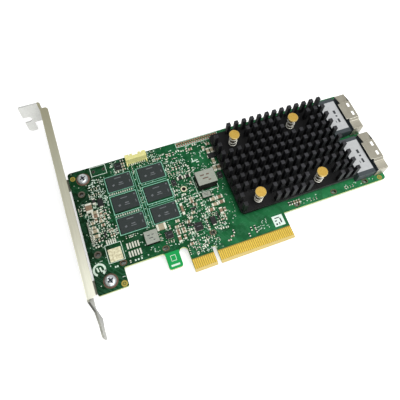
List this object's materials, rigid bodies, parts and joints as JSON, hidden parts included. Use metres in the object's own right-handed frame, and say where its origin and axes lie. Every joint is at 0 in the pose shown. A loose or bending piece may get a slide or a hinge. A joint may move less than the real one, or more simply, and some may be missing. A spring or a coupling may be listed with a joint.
{
  "type": "raid controller card",
  "caption": "Storage controller circuit card with a keyed edge connector, folded slot bracket, pin fin heatsink on sprung pins, memory chips and two shielded cable ports.",
  "frame": {"origin": "middle of the key notch, on the lower edge of the edge connector, in the component face of the board", "axes": "+X from the slot bracket toward the cable ports, +Y from the edge connector up the card, +Z out of the component face"},
  "size_m": [0.1695, 0.12, 0.0216],
  "materials": {
    "black_anodised": "black anodised extrusion, cut fin tips a little paler",
    "ceramic_tan": "ceramic capacitor body with tinned ends",
    "chip_plastic": "black moulded epoxy, fine matt texture",
    "ferrite_large": "pressed powder core, grey",
    "ferrite_small": "pressed powder core, grey",
    "gold_plate": "gold plated copper, bright",
    "header_plastic": "cream moulded plastic",
    "label_film": "white label film",
    "laminate": "green solder resist over glass fibre laminate, satin",
    "lid_metal": "plated heat spreader lid",
    "package_substrate": "organic package substrate",
    "pad_rubber": "soft thermal interface pad",
    "pin_brass": "bare turned brass",
    "plated_steel": "nickel plated sheet steel, satin",
    "port_plastic": "dark slate moulded plastic",
    "resistor_black": "ceramic body with black glaze and tinned ends",
    "screw_steel": "plated steel screw, satin",
    "shell_steel": "tinned sheet steel, warm grey",
    "spring_steel": "bright spring wire",
    "sticker_film": "small white sticker",
    "tin": "tinned contact"
  },
  "bodies": {
    "root": {"back_capacitors": "ceramic_tan", "battery_header": "header_plastic", "battery_header_contacts": "tin", "bracket_screws": "screw_steel", "charger_chip": "chip_plastic", "circuit_board": "laminate", "clock_chip": "chip_plastic", "controller_lid": "lid_metal", "controller_package": "package_substrate", "edge_contacts_back": "gold_plate", "edge_contacts_front": "gold_plate", "flash_chip": "chip_plastic", "heatsink": "black_anodised", "inductor_large": "ferrite_large", "inductor_mini": "ferrite_small", "inductor_small": "ferrite_small", "inspection_sticker": "sticker_film", "io_bracket": "plated_steel", "large_capacitors": "ceramic_tan", "memory_chip_1": "chip_plastic", "memory_chip_2": "chip_plastic", "memory_chip_3": "chip_plastic", "memory_chip_4": "chip_plastic", "memory_chip_5": "chip_plastic", "memory_chip_6": "chip_plastic", "middle_capacitors": "ceramic_tan", "monitor_chip": "chip_plastic", "port_contacts_1": "gold_plate", "port_contacts_2": "gold_plate", "port_housing_1": "port_plastic", "port_housing_2": "port_plastic", "port_label_1": "label_film", "port_label_2": "label_film", "port_shell_1": "shell_steel", "port_shell_2": "shell_steel", "power_diodes": "chip_plastic", "push_pin_springs": "spring_steel", "push_pins": "pin_brass", "regulator_chip": "chip_plastic", "resistor_arrays": "resistor_black", "small_capacitors": "ceramic_tan", "thermal_pad": "pad_rubber", "tiny_resistors": "resistor_black", "transistors": "chip_plastic"}
  },
  "joints": []
}
